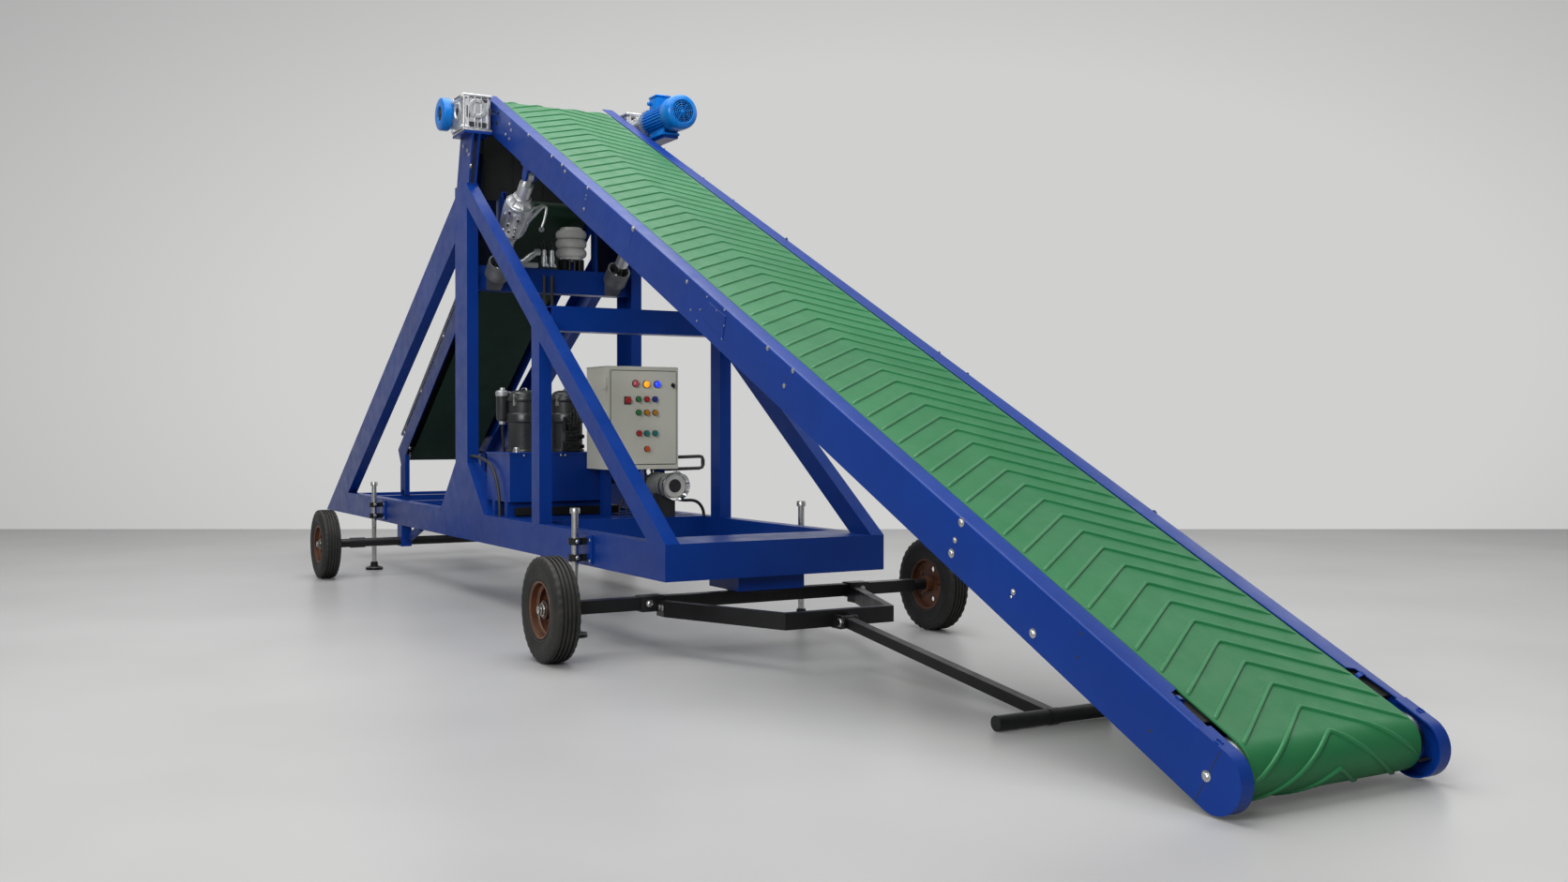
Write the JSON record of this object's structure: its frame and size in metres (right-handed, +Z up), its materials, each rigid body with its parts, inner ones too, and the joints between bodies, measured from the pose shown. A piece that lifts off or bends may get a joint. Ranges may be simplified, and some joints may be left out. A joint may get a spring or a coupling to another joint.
{
  "type": "mobile bag stacker conveyor",
  "caption": "Wheeled bag stacker: a long chevron-belt boom hinged on a braced blue frame and lifted by hydraulic cylinders, with a fixed conveyor, power pack, control cabinet, jacks and tow bar",
  "frame": {"origin": "on the floor, in the middle of the length and width", "axes": "+X points along the boom to its low end and the tow bar, +Y is left of someone looking along +X, +Z is up"},
  "size_m": [11.58, 2.745, 3.7147],
  "materials": {
    "blue_paint": "deep royal blue gloss paint on rolled steel",
    "green_belt": "mid-green PVC belt with a matt face",
    "black_paint": "black paint on steel",
    "hose_rubber": "black hydraulic hose",
    "zinc": "zinc-plated and bare steel",
    "cast_silver": "silver cast housing",
    "azure_paint": "azure motor enamel",
    "dark_paint": "dark grey enamel",
    "rim_brown": "brown primer on pressed steel rims",
    "tyre": "black rubber with a ribbed tread",
    "cabinet_beige": "light grey-beige powder coat"
  },
  "bodies": {
    "chassis": {"side_beams": "blue_paint", "front_beam": "blue_paint", "cross_members": "blue_paint", "post_shoes": "blue_paint", "main_posts": "blue_paint", "rear_legs": "blue_paint", "front_braces": "blue_paint", "short_posts": "blue_paint", "cross_beams": "blue_paint", "head_brackets": "blue_paint", "gearboxes": "cast_silver", "drive_motors": "azure_paint", "cylinder_cups": "cast_silver", "rear_plates": "blue_paint", "rear_bed": "dark_paint", "rear_belt": "green_belt", "rear_pulleys": "zinc", "guard_rails": "zinc", "rear_supports": "blue_paint", "oil_tank": "blue_paint", "pump_motors": "dark_paint", "valve_block": "black_paint", "accumulator": "cast_silver", "hydraulic_hoses": "hose_rubber", "cabinet_case": "cabinet_beige", "cabinet_stand": "blue_paint", "oil_cooler": "dark_paint", "rear_axle": "black_paint", "axle_hangers": "blue_paint", "jack_brackets": "black_paint", "turntable": "blue_paint"},
    "boom": {"boom_plates": "blue_paint", "boom_end_caps": "blue_paint", "boom_bed": "dark_paint", "boom_belt": "green_belt", "boom_pulleys": "zinc", "boom_ties": "blue_paint", "cylinder_lugs": "blue_paint"},
    "lift_barrels": {"lift_barrels": "cast_silver"},
    "lift_rods": {"lift_rods": "zinc"},
    "front_axle": {"front_axle": "black_paint", "drawbar": "black_paint"},
    "tow_bar": {"tow_bar": "black_paint"},
    "cabinet_door": {"cabinet_door": "cabinet_beige"},
    "wheel_front_left": {"tyre_front_left": "tyre", "rim_front_left": "rim_brown"},
    "jack_front_left": {"jack_front_left": "zinc"},
    "wheel_front_right": {"tyre_front_right": "tyre", "rim_front_right": "rim_brown"},
    "jack_front_right": {"jack_front_right": "zinc"},
    "wheel_rear_left": {"tyre_rear_left": "tyre", "rim_rear_left": "rim_brown"},
    "jack_rear_left": {"jack_rear_left": "zinc"},
    "wheel_rear_right": {"tyre_rear_right": "tyre", "rim_rear_right": "rim_brown"},
    "jack_rear_right": {"jack_rear_right": "zinc"}
  },
  "joints": [
    {"name": "boom_luff", "type": "hinge", "parent": "chassis", "child": "boom", "pos_m": [-1.31711, 0, 3.53272], "axis": [0, -1, 0], "range_deg": [0, 38]},
    {"name": "barrel_swing", "type": "hinge", "parent": "boom", "child": "lift_barrels", "pos_m": [-0.58895, 0, 2.98175], "axis": [0, -1, 0], "range_deg": [-26.42, 0.5]},
    {"name": "rod_slide", "type": "slide", "parent": "lift_barrels", "child": "lift_rods", "axis": [-0.7435, 0, -0.6687], "range_m": [-0.005, 0.5517]},
    {"name": "steer", "type": "hinge", "parent": "chassis", "child": "front_axle", "pos_m": [1.79989, 0, 0.28], "axis": [0, 0, 1], "range_deg": [-30, 30]},
    {"name": "tow_bar_pitch", "type": "hinge", "parent": "front_axle", "child": "tow_bar", "pos_m": [2.75989, 0, 0.242], "axis": [0, -1, 0], "range_deg": [0, 18]},
    {"name": "wheel_front_left_spin", "type": "hinge", "parent": "front_axle", "child": "wheel_front_left", "pos_m": [1.79989, 1.235, 0.28], "axis": [0, 1, 0], "continuous": true},
    {"name": "wheel_front_right_spin", "type": "hinge", "parent": "front_axle", "child": "wheel_front_right", "pos_m": [1.79989, -1.235, 0.28], "axis": [0, 1, 0], "continuous": true},
    {"name": "wheel_rear_left_spin", "type": "hinge", "parent": "chassis", "child": "wheel_rear_left", "pos_m": [-3.11011, 1.3, 0.28], "axis": [0, 1, 0], "continuous": true},
    {"name": "wheel_rear_right_spin", "type": "hinge", "parent": "chassis", "child": "wheel_rear_right", "pos_m": [-3.11011, -1.3, 0.28], "axis": [0, 1, 0], "continuous": true},
    {"name": "jack_front_left_lift", "type": "slide", "parent": "chassis", "child": "jack_front_left", "axis": [0, 0, 1], "range_m": [0, 0.25]},
    {"name": "jack_front_right_lift", "type": "slide", "parent": "chassis", "child": "jack_front_right", "axis": [0, 0, 1], "range_m": [0, 0.25]},
    {"name": "jack_rear_left_lift", "type": "slide", "parent": "chassis", "child": "jack_rear_left", "axis": [0, 0, 1], "range_m": [0, 0.25]},
    {"name": "jack_rear_right_lift", "type": "slide", "parent": "chassis", "child": "jack_rear_right", "axis": [0, 0, 1], "range_m": [0, 0.25]},
    {"name": "cabinet_door_swing", "type": "hinge", "parent": "chassis", "child": "cabinet_door", "pos_m": [-0.13611, -0.095, 0.945], "axis": [0, 0, -1], "range_deg": [0, 110]}
  ],
  "couplings": [
    {"joint": "barrel_swing", "follows": "boom_luff", "ratio": -0.68211},
    {"joint": "rod_slide", "follows": "boom_luff", "m_per_rad": 0.82431}
  ]
}
